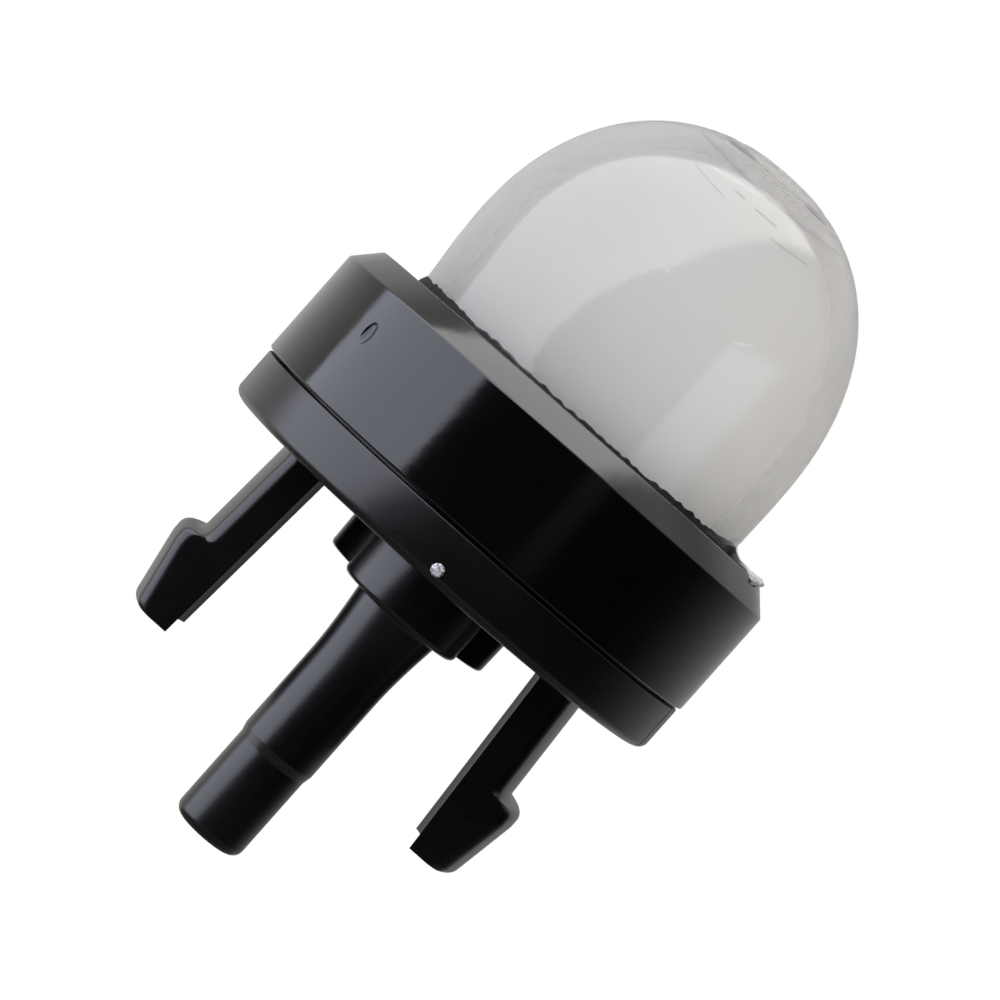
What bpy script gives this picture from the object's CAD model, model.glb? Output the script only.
import math

import bpy
from mathutils import Matrix, Vector, noise


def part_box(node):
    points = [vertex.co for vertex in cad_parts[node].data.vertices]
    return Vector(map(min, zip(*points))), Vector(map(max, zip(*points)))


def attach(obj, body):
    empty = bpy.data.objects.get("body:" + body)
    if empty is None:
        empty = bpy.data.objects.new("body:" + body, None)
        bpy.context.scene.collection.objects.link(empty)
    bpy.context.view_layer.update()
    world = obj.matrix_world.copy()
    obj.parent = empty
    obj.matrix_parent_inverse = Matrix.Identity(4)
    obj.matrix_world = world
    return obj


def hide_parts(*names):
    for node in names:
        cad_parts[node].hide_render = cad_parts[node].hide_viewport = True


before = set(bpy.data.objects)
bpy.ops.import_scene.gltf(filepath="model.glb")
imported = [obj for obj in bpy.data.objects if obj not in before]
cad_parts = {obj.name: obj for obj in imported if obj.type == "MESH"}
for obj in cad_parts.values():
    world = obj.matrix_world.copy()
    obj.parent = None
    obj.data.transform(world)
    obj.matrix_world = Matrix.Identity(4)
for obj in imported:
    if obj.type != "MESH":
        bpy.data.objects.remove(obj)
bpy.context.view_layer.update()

# The camera stands in front of the long nipple, level with the cap, and is rolled on its side,
# so that the bulb leans to the upper right of the picture as it does in the photograph.
MM = 0.001
eye = Vector((0, -127, 6.97)) * MM
aim = Vector((0, 0, 3.77)) * MM
LEAN = math.radians(41.58)
FOCAL_LENGTH = 112.5
forward = (aim - eye).normalized()
upright = (Vector((0, 0, 1)) - forward * forward.z).normalized()
sideways = forward.cross(upright)
camera_right = sideways * math.cos(LEAN) + upright * math.sin(LEAN)
camera_up = upright * math.cos(LEAN) - sideways * math.sin(LEAN)
camera_data = bpy.data.cameras.new("camera")
camera_data.lens = FOCAL_LENGTH
camera_data.sensor_width = 36
camera_data.clip_start = 0.005
camera = bpy.data.objects.new("camera", camera_data)
turn = Matrix((camera_right, camera_up, -forward)).transposed().to_4x4()
camera.matrix_world = Matrix.Translation(eye) @ turn
bpy.context.scene.collection.objects.link(camera)
bpy.context.scene.camera = camera
bpy.context.scene.view_settings.view_transform = "Standard"


# The base is one black nylon moulding: a rim that lies on the panel, a pedestal that the cap
# snaps over, a hub with a boss and a bored nipple on each side, and the two snap legs. The mould's
# parting line left a fine groove across the rim on the right.
base_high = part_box("base")[1]
cap_low, cap_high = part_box("retaining_cap")
valve_low, valve_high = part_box("check_valve")
rim_radius = base_high.x / MM
rim_height = 2.17
seat_height = base_high.z / MM
cap_radius = cap_high.x / MM
cap_wall = 0.9
cap_clearance = 0.1
cap_inner = cap_radius - cap_wall
pedestal_radius = cap_inner - cap_clearance
pedestal_wall = 2.2
dish_radius = pedestal_radius - pedestal_wall
valve_reach = 2.72
floor_height = valve_low.z / MM + valve_reach
snap_height = 3.9
snap_bead = 0.22
snap_half = 0.5
nipple_offset = 3.5
overlap = 0.5


def rounded(corners, steps=6):
    """Corner points (x, y, radius) joined by straight lines, each corner rounded by its radius."""
    points = []
    for index, corner in enumerate(corners):
        here = Vector(corner[:2])
        radius = corner[2] if len(corner) > 2 else 0
        if not radius:
            points.append(here)
            continue
        back = Vector(corners[index - 1][:2]) - here
        ahead = Vector(corners[(index + 1) % len(corners)][:2]) - here
        half = back.angle(ahead) / 2
        reach = min(radius / math.tan(half), back.length / 2, ahead.length / 2)
        start = here + back.normalized() * reach
        end = here + ahead.normalized() * reach
        middle = here + (back.normalized() + ahead.normalized()).normalized() * reach / math.cos(half)
        first = math.atan2(*(start - middle).yx)
        sweep = math.atan2(*(end - middle).yx) - first
        sweep -= round(sweep / math.tau) * math.tau
        distance = (start - middle).length
        for step in range(steps + 1):
            angle = first + sweep * step / steps
            points.append(middle + Vector((math.cos(angle), math.sin(angle))) * distance)
    return points


def piece(name, vertices, faces):
    """A mesh object from points in millimetres, placed in the frame."""
    mesh = bpy.data.meshes.new(name)
    mesh.from_pydata([Vector(v) * MM for v in vertices], [], faces)
    mesh.validate()
    made = bpy.data.objects.new(name, mesh)
    bpy.context.scene.collection.objects.link(made)
    return made


def turned(name, outline, facets=256, centre=(0, 0)):
    """A closed turned solid about a vertical axis, from an outline in (radius, height)."""
    vertices = []
    rings = []
    for radius, height in outline:
        if radius < 1e-6:
            rings.append([len(vertices)] * facets)
            vertices.append((centre[0], centre[1], height))
            continue
        rings.append(range(len(vertices), len(vertices) + facets))
        for step in range(facets):
            angle = math.tau * step / facets
            x = centre[0] + radius * math.cos(angle)
            y = centre[1] + radius * math.sin(angle)
            vertices.append((x, y, height))
    faces = []
    for lower, upper in zip(rings, [*rings[1:], rings[0]]):
        for step in range(facets):
            after = (step + 1) % facets
            corners = [lower[step], lower[after], upper[after], upper[step]]
            unique = list(dict.fromkeys(corners))
            if len(unique) > 2:
                faces.append(unique)
    return piece(name, vertices, faces)


def combine(target, other, operation):
    """Joins another solid to the target, or cuts it out, and removes it."""
    modifier = target.modifiers.new("cut", "BOOLEAN")
    modifier.operation = operation
    modifier.solver = "EXACT"
    modifier.object = other
    graph = bpy.context.evaluated_depsgraph_get()
    mesh = bpy.data.meshes.new_from_object(target.evaluated_get(graph))
    target.modifiers.remove(modifier)
    target.data = mesh
    bpy.data.objects.remove(other)


def smooth(made, angle=32):
    """Smooth shading with edges kept sharp above an angle."""
    made.data.shade_smooth()
    made.data.set_sharp_from_angle(angle=math.radians(angle))
    weighted = made.modifiers.new("even normals", "WEIGHTED_NORMAL")
    weighted.keep_sharp = True


base = turned(
    "base_moulding",
    rounded(
        [
            (0, 0),
            (rim_radius, 0, 0.4),
            (rim_radius, rim_height, 0.07),
            (pedestal_radius, rim_height),
            (pedestal_radius, snap_height - snap_half),
            (pedestal_radius + snap_bead, snap_height),
            (pedestal_radius, snap_height + snap_half),
            (pedestal_radius, seat_height, 0.2),
            (dish_radius, seat_height, 0.2),
            (dish_radius, floor_height, 0.2),
            (0, floor_height),
        ]
    ),
)
hub_radius = 4.08
hub_depth = 2.02
hub_draft = 0.06
hub = turned(
    "hub",
    rounded(
        [
            (0, -hub_depth),
            (hub_radius - hub_draft, -hub_depth, 0.15),
            (hub_radius, 0),
            (hub_radius, overlap),
            (0, overlap),
        ]
    ),
)
combine(base, hub, "UNION")


def nipple(name, end, tip_length, side):
    """A boss with its nipple: flared at the root, with a slight step down to the thinner tip."""
    boss_radius = 2.83
    boss_depth = 2.25
    shank = 1.7
    root = 1.97
    root_fillet = 0.22
    step_down = 0.09
    step_bottom = tip_length - end
    step_top = step_bottom + 0.4
    flare_length = min(3.4, -boss_depth - step_top)
    flare = []
    for index in range(17):
        share = 1 - index / 16
        spread = (root - shank) * (1 - math.sin(share * math.pi / 2))
        flare.append((shank + spread, -boss_depth - flare_length * share))
    flare[-1] += (root_fillet,)
    outline = rounded(
        [
            (0, -end),
            (shank - step_down, -end, 0.45),
            (shank - step_down, step_bottom, 0.12),
            (shank, step_top, 0.12),
            *flare,
            (boss_radius, -boss_depth, 0.25),
            (boss_radius, overlap),
            (0, overlap),
        ]
    )
    return turned(name, outline, 96, (0, side * nipple_offset))


long_end = 13.8
short_end = 8.0
combine(base, nipple("long_nipple", long_end, 4.05, -1), "UNION")
combine(base, nipple("short_nipple", short_end, 1.6, 1), "UNION")


def leg(side):
    """A snap leg lofted across its width from one section, its outer edges rounded."""
    wall = 1.32
    outer_top = 7.97
    splay = 0.065
    end = 8.9
    tip = 8.62
    ledge = 5.1
    barb = 9.15
    barb_land = 0.75
    half_width = 3.2
    edge = 0.4

    def outer_at(height):
        return outer_top - height * splay

    outer = rounded(
        [
            (outer_at(-end) - wall, -end),
            (tip, -end, edge),
            (barb, -ledge - barb_land, edge),
            (barb, -ledge, edge),
            (outer_at(-ledge), -ledge, edge),
            (outer_at(0), 0, edge),
            (barb, 0),
            (barb, overlap),
        ]
    )[1:]
    inner = rounded(
        [
            (outer_at(0) - 2 * wall, overlap),
            (outer_at(0) - 2 * wall, 0),
            (outer_at(0) - wall, 0, 0.45),
            (outer_at(-end) - wall, -end),
        ]
    )
    section = [(point, True) for point in outer] + [(point, False) for point in inner]
    rounds = [half_width - edge * (1 - math.sin(step * math.pi / 16)) for step in range(9)]
    flats = [(half_width - edge) * step / 12 for step in range(12)]
    stations = flats + rounds
    stations = [-y for y in reversed(stations[1:])] + stations
    vertices = []
    for y in stations:
        into = max(0.0, abs(y) - (half_width - edge))
        back = edge - math.sqrt(max(0.0, edge**2 - into**2))
        for point, is_outer in section:
            x = math.sqrt(point.x**2 - y**2) - (back if is_outer else 0)
            vertices.append((side * x, side * y, point.y))
    count = len(section)
    faces = []
    for row in range(len(stations) - 1):
        for index in range(count):
            a = row * count + index
            b = row * count + (index + 1) % count
            faces.append((a, a + count, b + count, b))
    faces.append(tuple(range(count)))
    last = (len(stations) - 1) * count
    faces.append(tuple(last + index for index in reversed(range(count))))
    return piece("leg", vertices, faces)


combine(base, leg(1), "UNION")
combine(base, leg(-1), "UNION")
well_offset = 0.9
well_bottom = 0.7 - hub_depth
well_radius = 2.1
mouth_radius = 1.85
lip_thickness = 1.1
well = turned(
    "well",
    [
        (0, well_bottom),
        (well_radius, well_bottom),
        (well_radius, floor_height - lip_thickness),
        (mouth_radius, floor_height - lip_thickness),
        (mouth_radius, floor_height + overlap),
        (0, floor_height + overlap),
    ],
    96,
    (0, -well_offset),
)
combine(base, well, "DIFFERENCE")


def bore(radius, bottom, top, side):
    """A plain bore on a nipple's axis."""
    outline = [(0, bottom), (radius, bottom), (radius, top), (0, top)]
    return turned("bore", outline, 64, (0, side * nipple_offset))


bore_radius = 0.8
pocket_radius = 1.15
pocket_bottom = -2.25
pocket_top = 0.3
combine(base, bore(bore_radius, -long_end - overlap, 0, -1), "DIFFERENCE")
combine(base, bore(pocket_radius, pocket_bottom, pocket_top, -1), "DIFFERENCE")
combine(base, bore(bore_radius, -short_end - overlap, floor_height + overlap, 1), "DIFFERENCE")
parting_angle = math.radians(-15)
parting_radius = 0.07
parting_place = (rim_radius * math.cos(parting_angle), rim_radius * math.sin(parting_angle))
parting_outline = [
    (0, -overlap),
    (parting_radius, -overlap),
    (parting_radius, rim_height + overlap),
    (0, rim_height + overlap),
]
combine(base, turned("parting_groove", parting_outline, 16, parting_place), "DIFFERENCE")
smooth(base)


class Wire:
    """A shader socket. Sums, differences and products add Math nodes, and node() adds any other."""

    def __init__(self, tree, socket=None):
        self.tree = tree
        self.socket = socket

    def node(self, kind, settings, sockets, output=0):
        """A node of a kind, with its settings, then the values or wires of its sockets."""
        made = self.tree.nodes.new(kind)
        for name, value in settings.items():
            if name == "stops":
                for stop, (place, colour) in zip(made.color_ramp.elements, value):
                    stop.position = place
                    stop.color = colour
            else:
                setattr(made, name, value)
        for name, value in sockets.items():
            if isinstance(value, Wire):
                self.tree.links.new(value.socket, made.inputs[name])
            else:
                made.inputs[name].default_value = value
        return Wire(self.tree, made.outputs[output])

    def maths(self, operation, first, second=0.0):
        return self.node("ShaderNodeMath", {"operation": operation}, {0: first, 1: second})

    def __add__(self, other):
        return self.maths("ADD", self, other)

    def __radd__(self, other):
        return self.maths("ADD", other, self)

    def __sub__(self, other):
        return self.maths("SUBTRACT", self, other)

    def __rsub__(self, other):
        return self.maths("SUBTRACT", other, self)

    def __mul__(self, other):
        return self.maths("MULTIPLY", self, other)

    def __rmul__(self, other):
        return self.maths("MULTIPLY", other, self)

    def step(self, low, high):
        """0 below low, 1 above high, and a smooth rise between them."""
        settings = {"interpolation_type": "SMOOTHSTEP"}
        return self.node("ShaderNodeMapRange", settings, {0: self, 1: low, 2: high})

    def blend(self, under, over):
        """A colour between two others, by this factor."""
        settings = {"data_type": "RGBA", "blend_type": "MIX"}
        return self.node("ShaderNodeMix", settings, {0: self, 6: under, 7: over}, 2)


def material(name):
    """A new material, with its shader node and a wire to start from."""
    made = bpy.data.materials.new(name)
    made.use_nodes = True
    return made, made.node_tree.nodes["Principled BSDF"], Wire(made.node_tree)


def plug(wire, shader, name):
    """Links a wire to a named socket of the shader."""
    wire.tree.links.new(wire.socket, shader.inputs[name])


def place(wire):
    """The point's own place in metres, the same at every pose."""
    return wire.node("ShaderNodeTexCoord", {}, {}, "Object")


def speckle(wire, scale, detail, roughness=0.5):
    """Cloudy noise from 0 to 1 at so many cells a metre."""
    sockets = {"Vector": place(wire), "Scale": scale, "Detail": detail, "Roughness": roughness}
    return wire.node("ShaderNodeTexNoise", {}, sockets)


def nylon(name, bump, gloss):
    """Black moulded nylon: nearly black, semi-gloss, with a faint flow texture and handling marks."""
    made, shader, wire = material(name)
    clouds = speckle(wire, 260, 3)
    grain = speckle(wire, 2600, 2)
    shade = (clouds * 0.6 + grain * 0.4).blend((0.0006, 0.0006, 0.0007, 1), (0.0024, 0.0024, 0.0026, 1))
    plug(shade, shader, "Base Color")
    plug(clouds.step(0.3, 0.75) * 0.05 + grain * 0.04 + gloss, shader, "Roughness")
    shader.inputs["IOR"].default_value = 1.5
    waves = speckle(wire, 140, 1) * 0.8 + speckle(wire, 1500, 2) * 0.04
    sockets = {"Strength": bump, "Distance": 0.0006, "Height": waves}
    plug(wire.node("ShaderNodeBump", {}, sockets), shader, "Normal")
    return made


base_nylon = nylon("base_nylon", 0.12, 0.25)
base.data.materials.append(base_nylon)
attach(base, "root")
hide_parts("base")


# The gate mark is the little round pip left where the nylon entered the mould, on the front of the
# rim just above its lower edge. It stands slightly proud and shines.
pip_height = 0.55
pip_radius = 0.27
pip_root = 0.25
pip_sink = 0.02
pip = turned(
    "gate_mark",
    rounded([(0, -pip_root), (pip_radius, -pip_root), (pip_radius, 0.08, 0.09), (0, 0.1)]),
    48,
)
pip_place = Matrix.Translation((0, -(rim_radius - pip_sink) * MM, pip_height * MM))
pip.data.transform(pip_place @ Matrix.Rotation(math.pi / 2, 4, "X"))
smooth(pip, 50)
torn, torn_shader, wire = material("torn_nylon")
frays = speckle(wire, 9000, 3)
plug(frays.step(0.35, 0.65).blend((0.1, 0.1, 0.105, 1), (0.62, 0.62, 0.64, 1)), torn_shader, "Base Color")
plug(frays * 0.3 + 0.35, torn_shader, "Roughness")
sockets = {"Strength": 0.6, "Distance": 0.0001, "Height": frays}
plug(wire.node("ShaderNodeBump", {}, sockets), torn_shader, "Normal")
pip.data.materials.append(torn)
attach(pip, "root")


# The retaining cap is a second black moulding: a ring with a chamfered top edge that snaps over the
# pedestal's bead and clamps the bulb's flange. Its lid has the round hole that the dome stands in,
# and its wall has an oval sink mark on the left.
lid = 1.2
cap_top = cap_high.z / MM
cap_bottom = cap_low.z / MM
flange_top = cap_top - lid
bulb_radius = 8.45
hole_radius = bulb_radius + 0.15
groove = pedestal_radius + snap_bead + 0.05
chamfer_width = 0.95
chamfer_height = 1.03
cap = turned(
    "cap_moulding",
    rounded(
        [
            (cap_inner, cap_bottom, 0.1),
            (cap_radius, cap_bottom, 0.1),
            (cap_radius, cap_top - chamfer_height, 0.16),
            (cap_radius - chamfer_width, cap_top, 0.16),
            (hole_radius, cap_top),
            (hole_radius, flange_top),
            (cap_inner, flange_top),
            (cap_inner, snap_height + snap_half + 0.05),
            (groove, snap_height),
            (cap_inner, snap_height - snap_half - 0.05),
        ]
    ),
)
pit_angle = math.radians(-136)
pit_height = 5.4
pit_stand_off = 0.08
half_turn = [math.pi * step / 24 for step in range(25)]
pit = turned("pit", [(math.sin(angle), -math.cos(angle)) for angle in half_turn], 48)
pit_size = Matrix.Diagonal((0.2, 0.35, 0.56, 1))
pit_place = Matrix.Translation(((cap_radius + pit_stand_off) * MM, 0, pit_height * MM))
pit.data.transform(Matrix.Rotation(pit_angle, 4, "Z") @ pit_place @ pit_size)
combine(cap, pit, "DIFFERENCE")
smooth(cap, 30)
cap_nylon = nylon("cap_nylon", 0.14, 0.07)
cap.data.materials.append(cap_nylon)
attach(cap, "root")
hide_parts("retaining_cap")


# The flash is the ragged edge of black nylon that stands up round the dome where the cap was closed
# over it. It is lowest in front and behind, and highest at the two sides.
def ragged(angle, scale, seed):
    """Smooth noise round a circle, from -1 to 1."""
    spot = Vector((math.cos(angle) * scale, math.sin(angle) * scale, seed))
    return noise.noise(spot)


flash_inner = bulb_radius - 0.16
flash_steps = 720
flash_section = 5
vertices = []
for step in range(flash_steps):
    angle = math.tau * step / flash_steps
    sideness = abs(math.cos(angle))
    peak = math.exp(-(((angle - math.tau + 0.25) / 0.22) ** 2))
    height = 0.15 + 0.26 * sideness**2 + 0.16 * peak
    height += 0.07 * ragged(angle, 6, 1) + 0.07 * ragged(angle, 26, 2)
    lean = 0.02 * ragged(angle, 9, 5)
    thick = 0.2 + 0.05 * ragged(angle, 14, 3)
    for radius, rise in [
        (flash_inner - 0.1, -0.1),
        (flash_inner + thick * 0.6, -0.1),
        (flash_inner + thick * 0.3 + lean, height * 0.4),
        (flash_inner - 0.06 + lean, height),
        (flash_inner - 0.14, height * 0.92),
    ]:
        vertices.append((radius * math.cos(angle), radius * math.sin(angle), cap_top + rise))
faces = []
for step in range(flash_steps):
    after = (step + 1) % flash_steps
    for index in range(flash_section):
        other = (index + 1) % flash_section
        faces.append(
            (
                step * flash_section + index,
                after * flash_section + index,
                after * flash_section + other,
                step * flash_section + other,
            )
        )
flash = piece("cap_flash", vertices, faces)
smooth(flash, 60)
torn_edge_nylon = nylon("torn_edge_nylon", 0.5, 0.5)
torn_edge_nylon.node_tree.nodes["Principled BSDF"].inputs["IOR"].default_value = 1.22
flash.data.materials.append(torn_edge_nylon)
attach(flash, "root")


# The bulb is one hollow moulding of milky elastomer: a dome with a straight wall, a clamped flange
# and a short skirt. The mould left a flat disc and faint rings at its apex, and use left fine lines.
bulb_wall = 1.1
apex_drop = 0.15
bulb_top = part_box("bulb")[1].z / MM - apex_drop
crown_height = 9.51
fullness = 2.2
flat_radius = 1.9
springing = bulb_top - crown_height
bulb_inner = bulb_radius - bulb_wall


def crown(radius, rise, steps=48):
    """Half of the dome's crown from its springing line to the flat, as a superellipse."""
    power = 2 / fullness
    flat_angle = math.acos((flat_radius / radius) ** (1 / power))
    full_rise = rise / math.sin(flat_angle) ** power
    points = []
    for step in range(steps + 1):
        angle = flat_angle * step / steps
        points.append((radius * math.cos(angle) ** power, springing + full_rise * math.sin(angle) ** power))
    return points


def marks(profile, ring, depth, width=0.07):
    """The profile with a fine groove pressed into it at one radius."""
    marked = []
    for radius, height in profile:
        closeness = math.exp(-(((radius - ring) / width) ** 2))
        marked.append((radius, height - depth * closeness))
    return marked


foot = cap_top - 0.1
inner_crown = list(reversed(crown(bulb_inner, crown_height - bulb_wall, 160)))
inner_crown = marks(marks(inner_crown, 2.9, -0.07), 1.2, 0.05)
outer_crown = marks(marks(crown(bulb_radius, crown_height, 160), 3.75, 0.04), 2.5, 0.05, 0.2)
apex = [(0.5, bulb_top - 0.03), (0, bulb_top - 0.03)]
outside = rounded(
    [
        (bulb_inner, seat_height - 0.8),
        (dish_radius - 0.1, seat_height - 0.8),
        (dish_radius - 0.1, seat_height),
        (cap_inner - 0.3, seat_height, 0.3),
        (cap_inner - 0.3, flange_top, 0.3),
        (bulb_radius - 0.12, flange_top),
        (bulb_radius - 0.12, foot + 0.6, 2),
        (bulb_radius - 0.02, foot + 2.4, 2),
        outer_crown[0],
    ]
)
bulb_outline = outside + outer_crown[1:] + apex
bulb_outline += [(0, inner_crown[0][1]), *inner_crown]
bulb = turned("bulb_moulding", bulb_outline)
bend = 0.4
upright_share = 0.36
for vertex in bulb.data.vertices:
    share = (vertex.co.z / MM - foot) / (bulb_top - foot)
    vertex.co.x += bend * MM * (1 - share) * (upright_share - share) * (share > 0)
smooth(bulb, 40)


def coordinates(wire):
    """The point's x, y and z in metres."""
    return [wire.node("ShaderNodeSeparateXYZ", {}, {0: place(wire)}, axis) for axis in range(3)]


def elastomer(name):
    """Milky clear elastomer: dimmed as light passes through it, and frosted on the inside."""
    made, shader, wire = material(name)
    across, deep, high = coordinates(wire)
    from_axis = wire.maths("SQRT", across * across + deep * deep)
    middle_radius = (bulb_radius - bulb_wall / 2) * MM
    middle_rise = (crown_height - bulb_wall / 2) * MM
    over_springing = wire.maths("MAXIMUM", high - springing * MM, 0) * (1 / middle_rise)
    ratio = from_axis * from_axis * (1 / middle_radius**2) + over_springing * over_springing
    inside = 1 - ratio.step(0.99, 1.01)
    near_apex = high.step(18.5 * MM, 19 * MM)

    def ring(radius, width):
        """1 on a circle about the axis, fading to 0 at a distance of width."""
        return 1 - wire.maths("ABSOLUTE", from_axis - radius * MM).step(0, width * MM)

    def spot(x, height, half_width, half_height):
        """1 at a spot on the dome, fading to 0 at the edge of an oval round it."""
        aside = (across - x * MM) * (1 / (half_width * MM))
        above = (high - height * MM) * (1 / (half_height * MM))
        return 1 - (aside * aside + above * above).step(0.15, 1)

    def line(start, end, height, slope, sag, width):
        """1 on a fine curved line from one x to another, fading to 0 beside it."""
        off = high - across * slope - across * across * (sag / MM) - height * MM
        begun = across.step((start - 0.1) * MM, (start + 0.1) * MM)
        ended = across.step((end - 0.1) * MM, (end + 0.1) * MM)
        return (1 - wire.maths("ABSOLUTE", off).step(0, width * MM)) * (begun - ended)

    patchy = speckle(wire, 900, 2).step(0.4, 0.6)
    outer_marks = ring(3.75, 0.12) * 0.25 + ring(2.55, 0.4) * patchy * 0.4
    inner_marks = ring(2.85, 0.1) * 0.5 + ring(0.9, 0.12) * patchy * 0.8
    smudges = spot(-2.1, 20.6, 1, 0.2) * 0.7 + spot(1.83, 20.6, 0.8, 0.19) * 0.6
    arcs = line(-3.7, 3.7, 19.6, 0, 0.032, 0.1) * 0.5
    low_arcs = (line(-3, -1.3, 18.33, 0, 0.039, 0.08) + line(1.1, 2.9, 18.33, 0, 0.039, 0.08)) * 0.4
    dashes = (line(-1.13, -0.6, 18.9, 0, 0, 0.08) + line(-0.1, 1, 18.87, 0.03, 0, 0.09)) * 0.6
    front = 1 - deep.step(-1 * MM, 0)
    outer_marks = outer_marks * near_apex + (smudges + arcs + low_arcs + dashes) * front
    marked = (1 - inside) * outer_marks + inside * inner_marks * near_apex
    glints = line(-2.5, -0.3, 19.5, 0.19, 0, 0.13) + line(2.7, 3.35, 12.65, 0.636, 0, 0.12)
    specks = spot(-1.02, 14.74, 0.12, 0.12) + spot(3.85, 10.52, 0.18, 0.08)
    milky = across.step(2.45 * MM, 2.8 * MM) * (1 - across.step(4.3 * MM, 5.4 * MM))
    milky = milky * (1 - (high - across * 0.4).step(12.7 * MM, 13.5 * MM))
    pale = wire.maths("MINIMUM", (glints + specks + milky * 0.8) * front, 1)
    cloudy = speckle(wire, 300, 4).blend((0.76, 0.752, 0.74, 1), (0.82, 0.815, 0.805, 1))
    cloudy = pale.blend(cloudy, (1, 1, 1, 1))
    clear = inside.blend(cloudy, (0.78, 0.78, 0.785, 1))
    plug(marked.blend(clear, (0.12, 0.1, 0.16, 1)), shader, "Base Color")
    plug(speckle(wire, 700, 3) * 0.04 + 0.05 + inside * 0.75, shader, "Roughness")
    shader.inputs["IOR"].default_value = 1.41
    shader.inputs["Transmission Weight"].default_value = 0.96
    haze = wire.node("ShaderNodeVolumeAbsorption", {}, {"Color": (0.3, 0.24, 0.14, 1), "Density": 20.0})
    wire.tree.links.new(haze.socket, wire.tree.nodes["Material Output"].inputs["Volume"])
    sockets = {"Strength": 0.12, "Distance": 0.0005, "Height": speckle(wire, 220, 2) * (1 - inside)}
    plug(wire.node("ShaderNodeBump", {}, sockets), shader, "Normal")
    return made


bulb_elastomer = elastomer("bulb_elastomer")
bulb.data.materials.append(bulb_elastomer)
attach(bulb, "root")
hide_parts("bulb")


# The film is a tongue of the bulb's elastomer that squeezed out over the cap on the right. It leaves
# the dome in a hollow curve, lies over the cap's top and ends at its edge in a curled, soiled lip.
film_middle = math.radians(-2)
film_half_angle = math.radians(22)
film_steps = 90
film_root = bulb_radius + 0.02
film_length = 1.3
film_bulge = 0.35
film_thickness = 0.2
film_rise = 0.42
fillet_steps = 8
vertices = []
for step in range(film_steps + 1):
    along = 2 * step / film_steps - 1
    angle = film_middle + film_half_angle * along
    spread = math.sqrt(max(0.0, 1 - along**2))
    ahead = max(0.0, -along)
    root = film_root + 1.1 * ahead**2
    bulge = film_bulge * spread * (1 + 0.2 * ragged(angle, 16, 7))
    reach = film_root + film_length + bulge + 0.5 * ahead - root
    rise = film_thickness + film_rise * spread**0.7 * (1 - ahead)
    curl = 0.06 * ragged(angle, 14, 8)
    droop = 0.3 * ahead**1.5
    section = [(root - 0.1, -0.02), (root - 0.1, rise)]
    for part in range(fillet_steps + 1):
        turned_by = math.pi / 2 * part / fillet_steps
        hollow_radius = root + 0.3 * reach * (1 - math.cos(turned_by))
        section.append((hollow_radius, rise - (rise - film_thickness) * math.sin(turned_by)))
    section += [
        (root + 0.7 * reach, 0.17 + curl - droop * 0.5),
        (root + 0.95 * reach, 0.24 + curl - droop),
        (root + reach + 0.03, 0.18 + curl - droop),
        (root + reach, 0.04 - droop),
        (root + 0.7 * reach, 0.01),
    ]
    for radius, height in section:
        vertices.append((radius * math.cos(angle), radius * math.sin(angle), cap_top + height))
count = len(section)
faces = [tuple(range(count)), tuple(film_steps * count + index for index in reversed(range(count)))]
for step in range(film_steps):
    for index in range(count):
        other = (index + 1) % count
        start = step * count
        faces.append((start + index, start + count + index, start + count + other, start + other))
film = piece("bulb_film", vertices, faces)
smooth(film, 70)
film_elastomer, shader, wire = material("film_elastomer")
stains = speckle(wire, 1300, 4)
across, deep, high = coordinates(wire)
rim_distance = wire.maths("SQRT", across * across + deep * deep)
soiled_lip = rim_distance.step(9.75 * MM, 10.1 * MM) * stains.step(0.35, 0.55)
soiled_seat = 1 - high.step((cap_top + 0.03) * MM, (cap_top + 0.13) * MM)
soiled = wire.maths("MAXIMUM", soiled_lip, soiled_seat)
plug(soiled.blend((0.66, 0.61, 0.61, 1), (0.012, 0.01, 0.016, 1)), shader, "Base Color")
plug(stains * 0.3 + 0.3, shader, "Roughness")
shader.inputs["IOR"].default_value = 1.35
shader.inputs["Transmission Weight"].default_value = 0.7
film.data.materials.append(film_elastomer)
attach(film, "root")


# The check valve is a small black rubber part: an umbrella that lies over the floor, a plug that
# snaps into the well's mouth, and a duckbill below it with a slit between its lips.
plug_radius = 1.8
lip_underside = floor_height - lip_thickness
bead_bottom = lip_underside - 0.45
bill_end = well_bottom + 0.2
valve_top = valve_high.z / MM
valve = turned(
    "umbrella_valve",
    rounded(
        [
            (0.9, bill_end + 0.5),
            (1.3, bill_end + 0.5),
            (1.3, bead_bottom),
            (plug_radius + 0.15, bead_bottom + 0.22),
            (plug_radius + 0.15, lip_underside),
            (plug_radius, lip_underside),
            (plug_radius, floor_height + 0.5),
            (5.4, floor_height),
            (5.8, floor_height),
            (5.8, floor_height + 0.4, 0.2),
            (plug_radius, valve_top, 0.45),
            (0.9, valve_top, 0.15),
        ]
    ),
    128,
    (0, -well_offset),
)
smooth(valve)


def rubber(name):
    """Matt black rubber with a fine moulded grain."""
    made, shader, wire = material(name)
    grain = speckle(wire, 3000, 2)
    plug(grain.blend((0.012, 0.012, 0.012, 1), (0.028, 0.028, 0.028, 1)), shader, "Base Color")
    plug(grain * 0.2 + 0.5, shader, "Roughness")
    sockets = {"Strength": 0.2, "Distance": 0.0001, "Height": grain}
    plug(wire.node("ShaderNodeBump", {}, sockets), shader, "Normal")
    return made


valve.data.materials.append(rubber("valve_rubber"))
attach(valve, "root")
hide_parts("check_valve")


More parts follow.
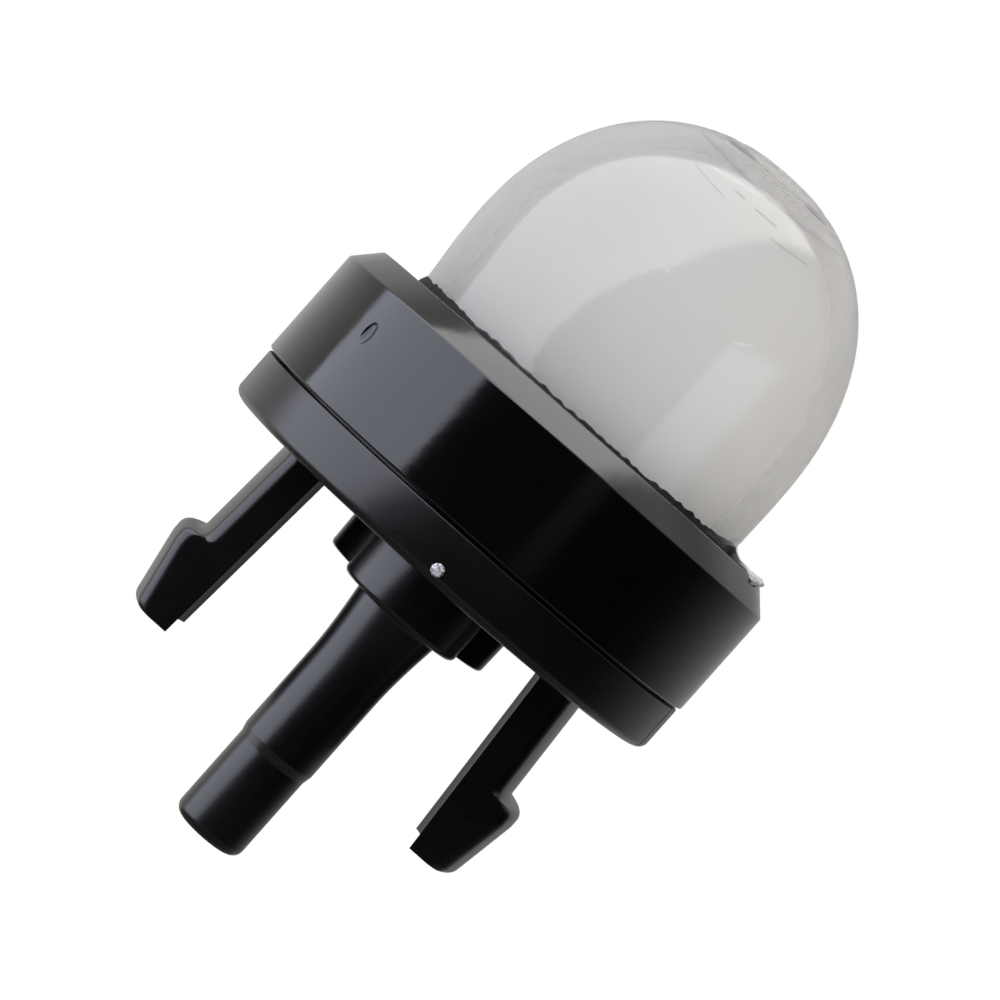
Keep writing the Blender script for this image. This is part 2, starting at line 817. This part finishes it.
# The studio: a disc of a floor well below the part, which looks white, and a room of soft light with
# one large bright window on the left that reaches up over the part. Its front and right are dark.
floor_depth = 50
floor_radius = 70
floor_outline = [
    (0, -floor_depth - 1),
    (floor_radius, -floor_depth - 1),
    (floor_radius, -floor_depth),
    (0, -floor_depth),
]
floor = turned("studio_floor", floor_outline, 96)
floor_paint, floor_shader, wire = material("studio_floor")
floor_shader.inputs["Base Color"].default_value = (0.07, 0.07, 0.07, 1)
floor_shader.inputs["Roughness"].default_value = 0.9
rays = wire.node("ShaderNodeLightPath", {}, {}, "Is Camera Ray")
through = wire.node("ShaderNodeLightPath", {}, {}, "Is Transmission Ray")
glow = wire.node("ShaderNodeEmission", {}, {"Color": (1, 1, 1, 1), "Strength": 1.03})
mixed = wire.node(
    "ShaderNodeMixShader",
    {},
    {0: wire.maths("MAXIMUM", rays, through) * 0.97, 1: Wire(wire.tree, floor_shader.outputs[0]), 2: glow},
)
wire.tree.links.new(mixed.socket, wire.tree.nodes["Material Output"].inputs["Surface"])
floor.data.materials.append(floor_paint)

world = bpy.data.worlds.new("studio")
world.use_nodes = True
bpy.context.scene.world = world
wire = Wire(world.node_tree)
toward = wire.node("ShaderNodeTexCoord", {}, {}, "Generated")


def facing(direction):
    """How far a ray points along a direction, from -1 to 1."""
    sockets = {0: toward, 1: direction}
    return wire.node("ShaderNodeVectorMath", {"operation": "DOT_PRODUCT"}, sockets, "Value")


upward = facing((0, 0, 1))
backward = facing((0, 1, 0))
window_edge = facing((-0.70, 0.52, 0.49)).step(-0.015, 0.015)
window_corner = facing((-0.884, 0.389, 0.258)).step(-0.06, 0.06)
window_right = window_edge * window_corner
window_left = wire.maths(
    "MAXIMUM",
    facing((-0.269, -0.956, 0.114)).step(-0.015, 0.015),
    facing((0.12, -0.936, 0.331)).step(-0.03, 0.03),
)
window = window_right * window_left * upward.step(-0.6, -0.4)
behind = backward.step(-0.1, 0.9) * 0.4
behind_left = facing((-0.85, 0.52, 0)).step(0.5, 1.0) * 0.45
behind_right = facing((0.95, 0.3, 0)).step(0.75, 1.0) * 0.03
above = upward.step(0.25, 0.95) * 0.95 - upward.step(0.5, 0.9) * backward.step(0.1, 0.5) * 0.7
below = (0 - upward).step(0.2, 0.55) * 0.3
streak = facing((0.42, -0.9, 0.05)).step(0.98, 0.999) * 0.15
shade = behind + behind_left + behind_right + above + below + streak + 0.012
strength = window * (upward * upward * 1.7 + 3.2) + (1 - window) * shade
tint = (window * (1 - upward.step(0.4, 0.9))).blend((1.0, 0.985, 0.955, 1), (0.92, 0.95, 1.1, 1))
room = wire.node("ShaderNodeBackground", {}, {"Color": tint, "Strength": strength})
seen = wire.node("ShaderNodeLightPath", {}, {}, "Is Camera Ray")
seen_through = wire.node("ShaderNodeLightPath", {}, {}, "Is Transmission Ray")
left_side = seen_through * facing((-0.95, 0.3, 0)).step(0, 1)
backdrop = left_side * 1.1 + 1 - seen_through * upward.step(0.1, 0.8) * 0.17
warm = left_side.blend((1, 1, 1, 1), (1, 0.965, 0.93, 1))
white = wire.node("ShaderNodeBackground", {}, {"Color": warm, "Strength": backdrop})
shows_white = wire.maths("MAXIMUM", seen, seen_through)
shown = wire.node("ShaderNodeMixShader", {}, {0: shows_white, 1: room, 2: white})
wire.tree.links.new(shown.socket, wire.tree.nodes["World Output"].inputs["Surface"])
